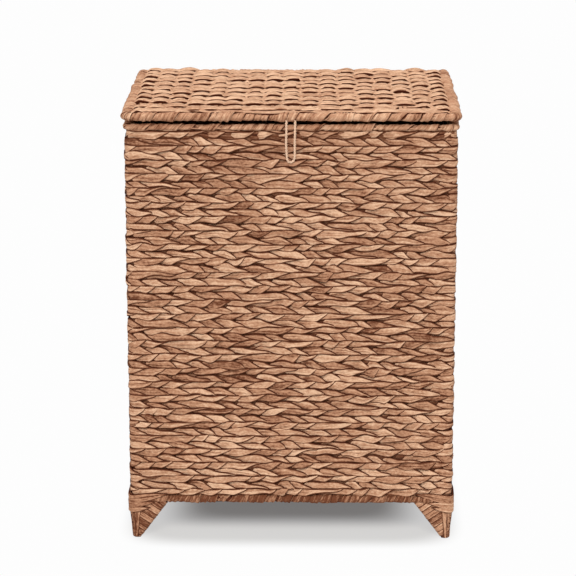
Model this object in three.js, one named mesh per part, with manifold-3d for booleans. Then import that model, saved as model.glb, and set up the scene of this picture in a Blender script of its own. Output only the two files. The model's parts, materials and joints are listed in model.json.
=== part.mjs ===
// Lidded laundry hamper: flat braids of water hyacinth stacked round a welded iron-rod frame,
// a plain-woven lid linked to the back rim, a cord loop to lift it, and four wrapped corner feet.
// Millimetres, +Z up, front towards -Y, origin on the floor under the middle of the hamper.

import * as THREE from 'three';
import Module from 'manifold-3d';
import { mergeVertices } from 'three/addons/utils/BufferGeometryUtils.js';

const wasm = await Module();
wasm.setup();

// Overall sizes
const lidWidth = 457;
const lidDepth = 356;
const totalHeight = 610;
const lidOverhang = 2;
const clearance = 0.3;

// Iron rods of the frame
const ringRodDiameter = 6;
const postDiameter = 7;
const stakeDiameter = 5;
const braceDiameter = 5;
const baseRodDiameter = 5;
const lidBarDiameter = 5;

// Wrapped rims, each wound round its own ring of rod
const lidRimDiameter = 16;
const topRimDiameter = 13;
const bottomRimDiameter = 10.5;
const lidCornerRadius = 12;

// Braided wall
const wallThickness = 7;
const braidCourses = 26;
const braidGrooveDepth = 1.8;
const braidCrestShare = 0.5;

// Feet
const footHeight = 53.5;
const footLegLength = 53;
const footTopInset = 1;
const footThickness = 15;
const footWrapThickness = 2;
const footTipBevel = 2;
const footTipBevelHeight = 3;

// Woven panels
const weaveThickness = 4;
const weaveWave = 1.5;
const lidWarpPitch = 26;
const lidWeftPitch = 14;
const basePitch = 36;

// Hinge links and the pull loop
const hingeWireDiameter = 2.5;
const hingeSlack = 0.5;
const hingeNotchWidth = 4;
const pullCordDiameter = 2.6;

// How many bars and rods, and how finely round shapes are faceted
const lidBarCount = 4;
const baseRodCount = 3;
const rodSides = 12;
const wireSides = 8;
const pullCordCurveSegments = 4;
const pullCordSteps = 24;
const rimSides = 12;
const rimCornerSteps = 3;
const wallCornerSteps = 2;
const weldDistance = 1e-3;
const cutterMargin = 1;

// Sizes that follow from the ones above
const ringRadius = ringRodDiameter / 2;
const postRadius = postDiameter / 2;
const stakeRadius = stakeDiameter / 2;
const braceRadius = braceDiameter / 2;
const lidRimRadius = lidRimDiameter / 2;
const topRimRadius = topRimDiameter / 2;
const bottomRimRadius = bottomRimDiameter / 2;
const lidHalf = [lidWidth / 2, lidDepth / 2];
const bodyHalf = [lidHalf[0] - lidOverhang, lidHalf[1] - lidOverhang];
const bodyCornerRadius = wallThickness + clearance + postRadius;
const cornerInset = bodyCornerRadius;

const weaveTop = totalHeight;
const lidWeaveMiddle = weaveTop - weaveThickness / 2 - weaveWave;
const lidWeaveBottom = lidWeaveMiddle - weaveThickness / 2 - weaveWave;
const lidRingZ = lidWeaveBottom - clearance - lidBarDiameter / 2;
const topRingZ = lidRingZ - lidRimRadius - clearance - topRimRadius;
const bottomRingZ = footHeight + bottomRimRadius;
const wallBottom = bottomRingZ + bottomRimRadius + clearance;
const wallTop = topRingZ - topRimRadius - clearance;
const lidRing = { inset: lidRimRadius, z: lidRingZ };
const topRing = { inset: topRimRadius, z: topRingZ };
const bottomRing = { inset: bottomRimRadius, z: bottomRingZ };
const hingeAxis = { y: lidHalf[1] - lidRimRadius, z: lidRingZ };

const hyacinth = new THREE.MeshStandardMaterial({ color: 0xae825f, roughness: 0.75, metalness: 0 });
const darkHyacinth = new THREE.MeshStandardMaterial({ color: 0x8f6546, roughness: 0.8, metalness: 0 });
const lightHyacinth = new THREE.MeshStandardMaterial({ color: 0xc79b73, roughness: 0.7, metalness: 0 });
const paintedIron = new THREE.MeshStandardMaterial({ color: 0x3a2a20, roughness: 0.5, metalness: 0.6 });
const bareWire = new THREE.MeshStandardMaterial({ color: 0x8d8578, roughness: 0.35, metalness: 0.9 });
const twine = new THREE.MeshStandardMaterial({ color: 0xe3c39b, roughness: 0.85, metalness: 0 });

const corners = [
  { name: 'front_left', x: -1, y: -1 },
  { name: 'front_right', x: 1, y: -1 },
  { name: 'back_left', x: -1, y: 1 },
  { name: 'back_right', x: 1, y: 1 },
];

// One closed geometry from corner points and triangles, welding points that coincide and
// dropping the triangles that this flattens.
function closedGeometry(points, triangles) {
  const geometry = new THREE.BufferGeometry();
  geometry.setAttribute('position', new THREE.Float32BufferAttribute(points.flat(), 3));
  geometry.setIndex(triangles.flat());
  const welded = mergeVertices(geometry, weldDistance);
  const index = welded.getIndex().array;
  const kept = [];
  for (let i = 0; i < index.length; i += 3) {
    const [a, b, c] = [index[i], index[i + 1], index[i + 2]];
    if (a !== b && b !== c && c !== a) kept.push(a, b, c);
  }
  welded.setIndex(kept);
  return welded;
}

// Sweeps a closed profile of [inset, z] points round a rectangle with round corners, like a
// lathe round a box. The profile runs anticlockwise, seen with the outside on the right.
function sweepRound(profile, half, cornerRadius, cornerSteps = rimCornerSteps) {
  const points = [];
  const stations = [];
  for (let corner = 0; corner < 4; corner++) {
    for (let step = 0; step <= cornerSteps; step++) {
      stations.push(((corner + step / cornerSteps) * Math.PI) / 2);
    }
  }
  stations.forEach((angle, s) => {
    const corner = Math.floor(s / (cornerSteps + 1));
    const sx = corner === 0 || corner === 3 ? 1 : -1;
    const sy = corner < 2 ? 1 : -1;
    for (const [inset, z] of profile) {
      const radius = Math.max(cornerRadius - inset, 0);
      const centre = Math.max(cornerRadius, inset);
      points.push([
        sx * (half[0] - centre) + radius * Math.cos(angle),
        sy * (half[1] - centre) + radius * Math.sin(angle),
        z,
      ]);
    }
  });
  const triangles = [];
  const n = profile.length;
  for (let s = 0; s < stations.length; s++) {
    const next = (s + 1) % stations.length;
    for (let p = 0; p < n; p++) {
      const q = (p + 1) % n;
      const [a, b, c, d] = [s * n + p, next * n + p, next * n + q, s * n + q];
      triangles.push([a, b, c], [a, c, d]);
    }
  }
  return closedGeometry(points, triangles);
}

// A round section for sweepRound, with a flat at its top, bottom, outside and inside
function roundProfile({ inset, z }, radius, sides) {
  const reach = radius / Math.cos(Math.PI / sides);
  return Array.from({ length: sides }, (_, i) => {
    const angle = (2 * Math.PI * (i + 0.5)) / sides;
    return [inset - reach * Math.cos(angle), z + reach * Math.sin(angle)];
  });
}

// A straight round bar between two points, as geometry in place
function barGeometry(from, to, radius) {
  const start = new THREE.Vector3(...from);
  const end = new THREE.Vector3(...to);
  const along = end.clone().sub(start);
  const geometry = new THREE.CylinderGeometry(radius, radius, along.length(), rodSides);
  const turn = new THREE.Quaternion().setFromUnitVectors(new THREE.Vector3(0, 1, 0), along.normalize());
  geometry.applyQuaternion(turn);
  geometry.translate(...start.add(end).multiplyScalar(0.5).toArray());
  return geometry;
}

function boxGeometry(low, high) {
  const size = high.map((value, i) => value - low[i]);
  const geometry = new THREE.BoxGeometry(...size);
  geometry.translate(...high.map((value, i) => (value + low[i]) / 2));
  return geometry;
}

function solidOf(geometry) {
  const bare = geometry.clone();
  bare.deleteAttribute('normal');
  bare.deleteAttribute('uv');
  const welded = mergeVertices(bare, weldDistance);
  return new wasm.Manifold(
    new wasm.Mesh({
      numProp: 3,
      vertProperties: new Float32Array(welded.getAttribute('position').array),
      triVerts: new Uint32Array(welded.getIndex().array),
    }),
  );
}

function geometryOf(solid) {
  const mesh = solid.getMesh();
  const geometry = new THREE.BufferGeometry();
  geometry.setAttribute('position', new THREE.BufferAttribute(mesh.vertProperties, 3));
  geometry.setIndex(new THREE.BufferAttribute(mesh.triVerts, 1));
  return geometry;
}

function cutSolid(geometry, cutters) {
  return cutters.reduce((solid, cutter) => solid.subtract(solidOf(cutter)), solidOf(geometry));
}

function cut(geometry, cutters) {
  return geometryOf(cutSolid(geometry, cutters));
}

function part(name, geometry, material) {
  const mesh = new THREE.Mesh(geometry, material);
  mesh.name = name;
  return mesh;
}

// Where a straight rod's end meets a ring that passes beside it, above or below the ring's middle
function seatOnRing(ring, rodInset, rodRadius) {
  const beside = Math.max(rodInset - ring.inset - rodRadius, 0);
  return Math.sqrt(ringRadius ** 2 - beside ** 2) + clearance;
}

// The rods, listed once so that rods, bores and notches share their ends
const posts = corners.map((corner) => {
  const [x, y] = [corner.x * (bodyHalf[0] - cornerInset), corner.y * (bodyHalf[1] - cornerInset)];
  return {
    name: `corner_post_${corner.name}`,
    from: [x, y, bottomRingZ + seatOnRing(bottomRing, cornerInset, postRadius)],
    to: [x, y, topRingZ - seatOnRing(topRing, cornerInset, postRadius)],
    radius: postRadius,
  };
});

const footPosts = corners.map((corner) => {
  const [x, y] = [corner.x * (bodyHalf[0] - cornerInset), corner.y * (bodyHalf[1] - cornerInset)];
  return {
    name: `foot_post_${corner.name}`,
    from: [x, y, 0],
    to: [x, y, bottomRingZ - seatOnRing(bottomRing, cornerInset, postRadius)],
    radius: postRadius,
  };
});

const footTipInset = cornerInset - postRadius - footWrapThickness;
const footTipReach = cornerInset + postRadius + footWrapThickness;

// Each foot has two sloping braces, one behind its front or back face and one behind its side face.
// They run parallel to the foot's sloping edge, from the foot post up to the bottom ring.
function braceEnds(corner, alongX) {
  const slope = (footLegLength - footTipReach) / (footHeight - footTipBevelHeight);
  const tilt = Math.atan(slope);
  const indent = (footWrapThickness + braceRadius) / Math.cos(tilt);
  const reachAt = (z) => footLegLength - indent - slope * (footHeight - z);
  const lowReach = cornerInset + postRadius + clearance + braceRadius / Math.cos(tilt) + braceRadius * Math.sin(tilt);
  const lowZ = footHeight - (footLegLength - indent - lowReach) / slope;
  const highZ = bottomRingZ - braceRadius;
  return [lowZ, highZ].map((z) => {
    const reach = reachAt(z);
    const x = corner.x * (bodyHalf[0] - (alongX ? reach : cornerInset));
    const y = corner.y * (bodyHalf[1] - (alongX ? cornerInset : reach));
    return [x, y, z];
  });
}

const braces = corners.flatMap((corner) =>
  [true, false].map((alongX) => {
    const [from, to] = braceEnds(corner, alongX);
    const face = alongX ? corner.name.split('_')[0] : 'side';
    return { name: `foot_brace_${corner.name}_${face}`, from, to, radius: braceRadius };
  }),
);

// The stakes divide the front and the back into three equal bays, and each side into two
const stakeInset = wallThickness + clearance + stakeRadius;
const stakeX = lidWidth / 6;
const stakePlaces = [
  { name: 'front_left', x: -stakeX, y: -(bodyHalf[1] - stakeInset) },
  { name: 'front_right', x: stakeX, y: -(bodyHalf[1] - stakeInset) },
  { name: 'back_left', x: -stakeX, y: bodyHalf[1] - stakeInset },
  { name: 'back_right', x: stakeX, y: bodyHalf[1] - stakeInset },
  { name: 'left', x: -(bodyHalf[0] - stakeInset), y: 0 },
  { name: 'right', x: bodyHalf[0] - stakeInset, y: 0 },
];
const stakes = stakePlaces.map(({ name, x, y }) => ({
  name: `wall_stake_${name}`,
  from: [x, y, bottomRingZ + seatOnRing(bottomRing, stakeInset, stakeRadius)],
  to: [x, y, topRingZ - seatOnRing(topRing, stakeInset, stakeRadius)],
  radius: stakeRadius,
}));

// Straight bars from the front to the back of a ring, evenly spaced across it
function barsAcross(prefix, count, half, ring, diameter) {
  const reach = half[1] - ring.inset - ringRadius - clearance;
  return Array.from({ length: count }, (_, i) => {
    const x = -half[0] + (2 * half[0] * (i + 1)) / (count + 1);
    return {
      name: `${prefix}_${i + 1}`,
      from: [x, -reach, ring.z],
      to: [x, reach, ring.z],
      radius: diameter / 2,
    };
  });
}

const baseRods = barsAcross('base_rod', baseRodCount, bodyHalf, bottomRing, baseRodDiameter);
const lidBars = barsAcross('lid_bar', lidBarCount, lidHalf, lidRing, lidBarDiameter);

// The two hinge links lie midway between the two outer bars at each end of the lid
const hingeX = Math.abs(lidBars[0].from[0] + lidBars[1].from[0]) / 2;

function rodPart(rod) {
  const middle = new THREE.Vector3(...rod.from).add(new THREE.Vector3(...rod.to)).multiplyScalar(0.5);
  const along = new THREE.Vector3(...rod.to).sub(new THREE.Vector3(...rod.from));
  const geometry = new THREE.CylinderGeometry(rod.radius, rod.radius, along.length(), rodSides);
  const mesh = part(rod.name, geometry, paintedIron);
  mesh.position.copy(middle);
  mesh.quaternion.setFromUnitVectors(new THREE.Vector3(0, 1, 0), along.normalize());
  return mesh;
}

// The room that a rod needs in a wrap or panel that it runs through
function boreFor(rod) {
  return barGeometry(rod.from, rod.to, rod.radius + clearance);
}

function ringPart(name, ring, half, cornerRadius) {
  const profile = roundProfile(ring, ringRadius, rimSides);
  return part(name, sweepRound(profile, half, cornerRadius), paintedIron);
}

// A wrapped rim: a round roll with a bore for its ring, opened where rods meet the ring
function rimGeometry(ring, radius, half, cornerRadius, cutters) {
  const roll = sweepRound(roundProfile(ring, radius, rimSides), half, cornerRadius);
  const bore = sweepRound(roundProfile(ring, ringRadius + clearance, rimSides), half, cornerRadius);
  return cutSolid(roll, [bore, ...cutters]);
}

// A rim that the two hinge links interrupt falls into two runs: the long one, which goes round
// the front and the sides, and the short one between the links.
function rimRuns(name, ring, radius, half, cornerRadius, cutters) {
  const back = half[1] - ring.inset;
  const reach = radius + cutterMargin;
  const notches = [-1, 1].map((side) => {
    const x = side * hingeX;
    return boxGeometry(
      [x - hingeNotchWidth / 2, back - reach, ring.z - reach],
      [x + hingeNotchWidth / 2, back + reach, ring.z + reach],
    );
  });
  const runs = rimGeometry(ring, radius, half, cornerRadius, [...cutters, ...notches]).decompose();
  runs.sort((a, b) => b.volume() - a.volume());
  return runs.map((run, i) => part(i === 0 ? name : `${name}_back`, geometryOf(run), hyacinth));
}

// The wall's courses: each braid is a flat-crested swell between two grooves, outside and inside
function braidedWall() {
  const pitch = (wallTop - wallBottom) / braidCourses;
  const crestStart = (1 - braidCrestShare) / 2;
  const outside = [];
  const inside = [];
  for (let course = 0; course < braidCourses; course++) {
    const z = wallBottom + course * pitch;
    outside.push([braidGrooveDepth, z], [0, z + crestStart * pitch], [0, z + (1 - crestStart) * pitch]);
    inside.push([wallThickness - braidGrooveDepth, z], [wallThickness, z + pitch / 2]);
  }
  outside.push([braidGrooveDepth, wallTop]);
  inside.push([wallThickness - braidGrooveDepth, wallTop]);
  const profile = [...outside, ...inside.reverse()];
  const skin = sweepRound(profile, bodyHalf, bodyCornerRadius, wallCornerSteps);
  return part('braided_wall', skin, hyacinth);
}

// A plain-woven panel: a slab whose two faces rise and fall together at every other crossing
function wovenPanel(half, middle, pitchX, pitchY) {
  const across = Math.max(2, Math.round((2 * half[0]) / pitchX));
  const down = Math.max(2, Math.round((2 * half[1]) / pitchY));
  const places = (count, reach) => [
    -reach,
    ...Array.from({ length: count }, (_, i) => -reach + (2 * reach * (i + 0.5)) / count),
    reach,
  ];
  const xs = places(across, half[0]);
  const ys = places(down, half[1]);
  const points = [];
  for (const side of [1, -1]) {
    ys.forEach((y, j) => {
      xs.forEach((x, i) => {
        const edge = i === 0 || j === 0 || i === xs.length - 1 || j === ys.length - 1;
        const wave = edge ? 0 : weaveWave * ((i + j) % 2 ? 1 : -1);
        points.push([x, y, middle + wave + (side * weaveThickness) / 2]);
      });
    });
  }
  const width = xs.length;
  const layer = xs.length * ys.length;
  const triangles = [];
  for (let j = 0; j < ys.length - 1; j++) {
    for (let i = 0; i < width - 1; i++) {
      const [a, b, c, d] = [j * width + i, j * width + i + 1, (j + 1) * width + i + 1, (j + 1) * width + i];
      const top = (i + j) % 2 ? [[a, b, d], [b, c, d]] : [[a, b, c], [a, c, d]];
      triangles.push(...top);
      triangles.push(...top.map(([p, q, r]) => [p + layer, r + layer, q + layer]));
    }
  }
  const edgeWall = (p, q) => triangles.push([q, p, p + layer], [q, p + layer, q + layer]);
  for (let i = 0; i < width - 1; i++) {
    edgeWall(i, i + 1);
    edgeWall(layer - 1 - i, layer - 2 - i);
  }
  for (let j = 0; j < ys.length - 1; j++) {
    edgeWall((j + 1) * width, j * width);
    edgeWall((j + 1) * width - 1, (j + 2) * width - 1);
  }
  return closedGeometry(points, triangles);
}

function wovenBase() {
  const half = bodyHalf.map((reach) => reach - 2 * bottomRimRadius - 2 * clearance);
  const middle = bottomRingZ + baseRodDiameter / 2 + clearance + weaveThickness / 2 + weaveWave;
  const panel = wovenPanel(half, middle, basePitch, basePitch);
  return part('woven_base', cut(panel, [...posts, ...stakes].map(boreFor)), darkHyacinth);
}

function wovenLidPanel() {
  const half = lidHalf.map((reach) => reach - lidRimDiameter - clearance);
  return part('woven_lid_panel', wovenPanel(half, lidWeaveMiddle, lidWarpPitch, lidWeftPitch), lightHyacinth);
}

// A foot's wrap: an L round the corner that narrows to a square tip, bored for its rods
function footWrap(corner, rods) {
  const outline = (outer, inner, reach) => [
    [outer, outer], [reach, outer], [reach, inner], [inner, inner], [inner, reach], [outer, reach],
  ];
  const tipReach = footTipReach + clearance;
  const top = footHeight - clearance;
  const sections = [
    { z: 0, at: outline(footTipInset + footTipBevel, footTipReach - footTipBevel, tipReach - footTipBevel) },
    { z: footTipBevelHeight, at: outline(footTipInset, footTipReach, tipReach) },
    { z: top, at: outline(footTopInset, footTopInset + footThickness, footLegLength) },
  ];
  const points = sections.flatMap(({ z, at }) =>
    at.map(([u, v]) => [corner.x * (bodyHalf[0] - u), corner.y * (bodyHalf[1] - v), z]),
  );
  const n = sections[0].at.length;
  const triangles = [];
  for (let s = 0; s < sections.length - 1; s++) {
    for (let p = 0; p < n; p++) {
      const q = (p + 1) % n;
      const [a, b, c, d] = [s * n + p, s * n + q, (s + 1) * n + q, (s + 1) * n + p];
      triangles.push([a, b, c], [a, c, d]);
    }
  }
  const last = (sections.length - 1) * n;
  for (const [a, b, c] of [[0, 1, 2], [0, 2, 3], [0, 3, 4], [0, 4, 5]]) {
    triangles.push([a, c, b], [last + a, last + b, last + c]);
  }
  const mirrored = corner.x * corner.y < 0;
  const facing = mirrored ? triangles.map(([a, b, c]) => [a, c, b]) : triangles;
  const wrap = closedGeometry(points, facing);
  return part(`foot_wrap_${corner.name}`, cut(wrap, rods.map(boreFor)), hyacinth);
}

// A closed link of wire round the bare rods of the top ring and the lid ring
function hingeLink(name, x) {
  const wire = hingeWireDiameter / 2;
  const topRingY = bodyHalf[1] - topRing.inset;
  const round = ringRadius + hingeSlack + 2 * wire + Math.abs(hingeAxis.y - topRingY) / 2;
  const half = [(lidRingZ - topRingZ) / 2 + round, round];
  const profile = roundProfile({ inset: wire, z: 0 }, wire, wireSides);
  const link = part(name, sweepRound(profile, half, round), bareWire);
  link.rotation.y = Math.PI / 2;
  link.position.set(x, (hingeAxis.y + topRingY) / 2, (lidRingZ + topRingZ) / 2);
  return link;
}

// The pull loop's route, chosen by hand: out of the underside of the lid's front rim, down in
// front of the wall, round at the bottom and up again.
function pullLoop() {
  const route = [
    [-7.9, -175.9, 593.6], [-7.9, -177.2, 589.5], [-7.9, -177.9, 584.0], [-8.1, -178.0, 576.0],
    [-8.3, -178.0, 567.0], [-8.1, -178.0, 558.0], [-7.8, -178.0, 551.0], [-7.6, -178.0, 546.5],
    [-6.6, -178.0, 542.9], [-4.4, -178.0, 540.7], [-2.4, -178.0, 540.4], [-0.2, -178.0, 541.3],
    [1.6, -178.0, 543.6], [2.4, -178.0, 547.0], [2.5, -178.0, 552.0], [2.3, -178.0, 559.0],
    [2.2, -178.0, 567.0], [2.4, -178.0, 576.0], [2.5, -177.9, 584.0], [2.5, -177.2, 589.5],
    [2.5, -175.9, 593.6],
  ];
  const path = new THREE.CatmullRomCurve3(route.map((point) => new THREE.Vector3(...point)));
  const section = new THREE.Shape();
  section.absarc(0, 0, pullCordDiameter / 2, 0, 2 * Math.PI);
  const geometry = new THREE.ExtrudeGeometry(section, {
    steps: pullCordSteps,
    curveSegments: pullCordCurveSegments,
    extrudePath: path,
    bevelEnabled: false,
  });
  return part('pull_loop', geometry, twine);
}

function basket() {
  const group = new THREE.Group();
  group.add(ringPart('top_frame_ring', topRing, bodyHalf, bodyCornerRadius));
  group.add(ringPart('bottom_frame_ring', bottomRing, bodyHalf, bodyCornerRadius));
  for (const rod of [...posts, ...footPosts, ...braces, ...stakes, ...baseRods]) group.add(rodPart(rod));
  group.add(braidedWall(), wovenBase());
  const topCutters = [...posts, ...stakes].map(boreFor);
  group.add(...rimRuns('top_rim_wrap', topRing, topRimRadius, bodyHalf, bodyCornerRadius, topCutters));
  const bottomCutters = [...posts, ...stakes, ...footPosts, ...braces, ...baseRods].map(boreFor);
  const bottomRim = rimGeometry(bottomRing, bottomRimRadius, bodyHalf, bodyCornerRadius, bottomCutters);
  group.add(part('bottom_rim_wrap', geometryOf(bottomRim), hyacinth));
  corners.forEach((corner, i) => {
    group.add(footWrap(corner, [footPosts[i], braces[2 * i], braces[2 * i + 1]]));
  });
  group.add(hingeLink('hinge_link_left', -hingeX), hingeLink('hinge_link_right', hingeX));
  return group;
}

function lid() {
  const group = new THREE.Group();
  group.add(ringPart('lid_frame_ring', lidRing, lidHalf, lidCornerRadius));
  for (const bar of lidBars) group.add(rodPart(bar));
  group.add(wovenLidPanel());
  group.add(...rimRuns('lid_rim_wrap', lidRing, lidRimRadius, lidHalf, lidCornerRadius, lidBars.map(boreFor)));
  group.add(pullLoop());
  return group;
}

const hamper = new THREE.Group();
hamper.add(basket(), lid());

export default hamper;
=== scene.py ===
"""Dresses a laundry hamper's frame in braided, woven and wound water hyacinth.

Lengths are metres, +Z is up and the front, with the pull loop, faces -Y.
"""

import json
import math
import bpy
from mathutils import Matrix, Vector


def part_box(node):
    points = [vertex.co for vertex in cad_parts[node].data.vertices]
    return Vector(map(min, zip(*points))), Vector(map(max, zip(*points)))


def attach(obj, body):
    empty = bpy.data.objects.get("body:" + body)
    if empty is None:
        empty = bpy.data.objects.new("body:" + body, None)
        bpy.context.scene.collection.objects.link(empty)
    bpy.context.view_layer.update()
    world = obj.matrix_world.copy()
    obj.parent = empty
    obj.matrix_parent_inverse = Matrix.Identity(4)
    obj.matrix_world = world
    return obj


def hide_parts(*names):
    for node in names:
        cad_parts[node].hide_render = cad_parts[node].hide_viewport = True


bl_info = {
    "name": "Woven laundry hamper",
    "version": (1, 0, 0),
    "blender": (4, 5, 0),
    "location": "View3D > Sidebar > Hamper",
    "description": "Braids, weaves and winds the strands of a lidded hamper round its iron-rod frame",
    "category": "Object",
}

from collections import namedtuple

import bpy
import numpy as np
from mathutils import Vector

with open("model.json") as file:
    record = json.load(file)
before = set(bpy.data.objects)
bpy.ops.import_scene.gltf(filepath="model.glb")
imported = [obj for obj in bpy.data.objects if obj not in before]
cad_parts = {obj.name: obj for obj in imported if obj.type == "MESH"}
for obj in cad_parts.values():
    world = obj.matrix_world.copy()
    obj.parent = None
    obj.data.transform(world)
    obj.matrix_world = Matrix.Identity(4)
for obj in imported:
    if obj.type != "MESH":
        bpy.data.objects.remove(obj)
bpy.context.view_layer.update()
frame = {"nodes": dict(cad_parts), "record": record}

BAKE_MAP = "OFBake"
TURN = 2 * math.pi
RIGHT, FORWARD, UPRIGHT = np.eye(3)
SEED = 20


def tint(red, green, blue):
    """An 8-bit screen colour as the linear one that shaders use."""

    def linear(value):
        value /= 255
        return value / 12.92 if value <= 0.04045 else ((value + 0.055) / 1.055) ** 2.4

    return linear(red), linear(green), linear(blue)


def between(low, high, share):
    """The value a share of the way from low to high."""
    return low + (high - low) * share


def smooth(low, high, value):
    """0 below low, 1 above high, and an even S between them."""
    share = np.clip((value - low) / (high - low), 0, 1)
    return share * share * (3 - 2 * share)


def running(values):
    """The sums of the values so far, from 0."""
    return np.concatenate([[0], np.cumsum(values)])


# Sizes that the frame gives

Box = namedtuple("Box", "middle half")


def box_of(node):
    """The middle of a solid's box, and half of its size."""
    low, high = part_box(node)
    return Box((low + high) / 2, (high - low) / 2)


WALL = box_of("braided_wall")
WALL_BOTTOM = WALL.middle.z - WALL.half.z
# The top course stands this much past the solid wall, behind the rim
TOP_COURSE_RISE = 0.003
WALL_TOP = WALL.middle.z + WALL.half.z + TOP_COURSE_RISE
LID_PANEL = box_of("woven_lid_panel")
LINK_X = box_of("hinge_link_right").middle.x
FOOT_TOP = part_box("foot_wrap_front_left")[1].z


def length(name, description, value):
    return bpy.props.FloatProperty(name=name, description=description, default=value, unit="LENGTH")


class HamperSizes(bpy.types.PropertyGroup):
    """The strand sizes of the hamper's braids, weaves and windings."""

    wall_depth: length("Wall depth", "Thickness of the braided wall", 0.007)
    wall_corner: length("Wall corner", "Outer corner radius of the wall", 0.0108)
    lid_corner: length("Lid corner", "Outer corner radius of the lid's rim", 0.012)
    braid_rows: bpy.props.FloatProperty(
        name="Braid rows",
        description="Braids between the rims, the top one half hidden behind its rim",
        default=26.5,
    )
    braid_repeat: length("Braid repeat", "Length in which a strand crosses and returns", 0.093)
    strand_depth: length("Strand depth", "Thickness of a flattened braid strand", 0.0032)
    weft_pitch: length("Weft pitch", "Spacing of the lid's wefts from front to back", 0.0158)
    warp_pitch: length("Warp pitch", "Spacing of the lid's warps from side to side", 0.0262)
    base_pitch: length("Base pitch", "Spacing of the base's strands", 0.021)
    cord: length("Cord", "Diameter of the pull loop's cord", 0.0034)


def colour(name, description, value):
    return bpy.props.FloatVectorProperty(
        name=name, description=description, default=value, subtype="COLOR", size=3, min=0, max=1
    )


class HamperColours(bpy.types.PropertyGroup):
    """The colours of the hamper's strands, cord, rods and wire."""

    pale: colour("Pale strand", "Lightest stalks", tint(223, 182, 149))
    tan: colour("Tan strand", "Most stalks", tint(179, 131, 101))
    brown: colour("Brown strand", "Darkest stalks", tint(106, 62, 41))
    # Painted shade: the colour that stands in for the shade where strands tuck under each other and along
    # their edges
    tuck_shade: colour("Crevice", "Where strands tuck under each other", tint(66, 29, 17))
    cord: colour("Cord", "The pull loop", tint(244, 206, 175))
    iron: colour("Iron", "Painted rods of the frame", tint(66, 45, 34))
    wire: colour("Wire", "Hinge links", tint(150, 142, 130))


# Shader maths


class Socket:
    """A node's output that takes part in Python expressions on numbers."""

    def __init__(self, finish, link):
        self.finish = finish
        self.link = link

    def math(self, operation, *values):
        return self.finish.node("ShaderNodeMath", {"operation": operation}, dict(enumerate(values)))

    def __add__(self, other):
        return self.math("ADD", self, other)

    def __radd__(self, other):
        return self.math("ADD", other, self)

    def __sub__(self, other):
        return self.math("SUBTRACT", self, other)

    def __rsub__(self, other):
        return self.math("SUBTRACT", other, self)

    def __mul__(self, other):
        return self.math("MULTIPLY", self, other)

    def __rmul__(self, other):
        return self.math("MULTIPLY", other, self)

    def __pow__(self, other):
        return self.math("POWER", self, other)

    def step(self, low, high, start=0.0, end=1.0):
        """start below low and end above high, with an even S between them."""
        settings = {"interpolation_type": "SMOOTHSTEP"}
        sockets = {0: self, 1: low, 2: high, 3: start, 4: end}
        return self.finish.node("ShaderNodeMapRange", settings, sockets)


class Finish:
    """One material, with a single method that adds any node to it."""

    def __init__(self, name):
        self.material = bpy.data.materials.new(name)
        self.material.use_nodes = True
        self.tree = self.material.node_tree
        self.shader = self.tree.nodes["Principled BSDF"]

    def node(self, kind, settings, sockets, output=0):
        made = self.tree.nodes.new(kind)
        for key, value in settings.items():
            setattr(made, key, value)
        for key, value in sockets.items():
            self.feed(made.inputs[key], value)
        return Socket(self, made.outputs[output])

    def feed(self, socket, value):
        if isinstance(value, Socket):
            self.tree.links.new(value.link, socket)
        else:
            socket.default_value = value

    def set(self, **inputs):
        for name, value in inputs.items():
            self.feed(self.shader.inputs[name.replace("_", " ").title()], value)
        return self.material

    def place(self):
        return self.node("ShaderNodeTexCoord", {}, {}, "Object")

    def attribute(self, name, output):
        return self.node("ShaderNodeAttribute", {"attribute_name": name}, {}, output)

    def noise(self, vector, scales, detail=2.0, roughness=0.5):
        stretched = self.node("ShaderNodeVectorMath", {"operation": "MULTIPLY"}, {0: vector, 1: scales})
        sockets = {"Vector": stretched, "Scale": 1, "Detail": detail, "Roughness": roughness}
        return self.node("ShaderNodeTexNoise", {}, sockets)

    def mix(self, share, start, end):
        """The colour a share of the way from start to end."""
        sockets = {0: share, 6: rgba(start), 7: rgba(end)}
        return self.node("ShaderNodeMix", {"data_type": "RGBA"}, sockets, output=2)

    def glow_where(self, share, strength):
        """Mixes the surface with white light of its own."""
        light = self.node("ShaderNodeEmission", {}, {"Strength": strength})
        surface = Socket(self, self.shader.outputs[0])
        mixed = self.node("ShaderNodeMixShader", {}, {0: share, 1: surface, 2: light})
        self.tree.links.new(mixed.link, self.tree.nodes["Material Output"].inputs["Surface"])

    def bump(self, height, distance):
        return self.node("ShaderNodeBump", {}, {"Strength": 1.0, "Distance": distance, "Height": height})


def rgba(value):
    """A colour with its alpha, or a socket as it is."""
    return value if isinstance(value, Socket) else (*value, 1.0)


# Added to the noises, these bring a stalk's edges and its middle to the right lightness, the edges darker
# as painted shade
SHADED_EDGE_LEVEL, LIT_MIDDLE_LEVEL = -1.73, -1.59


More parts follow.
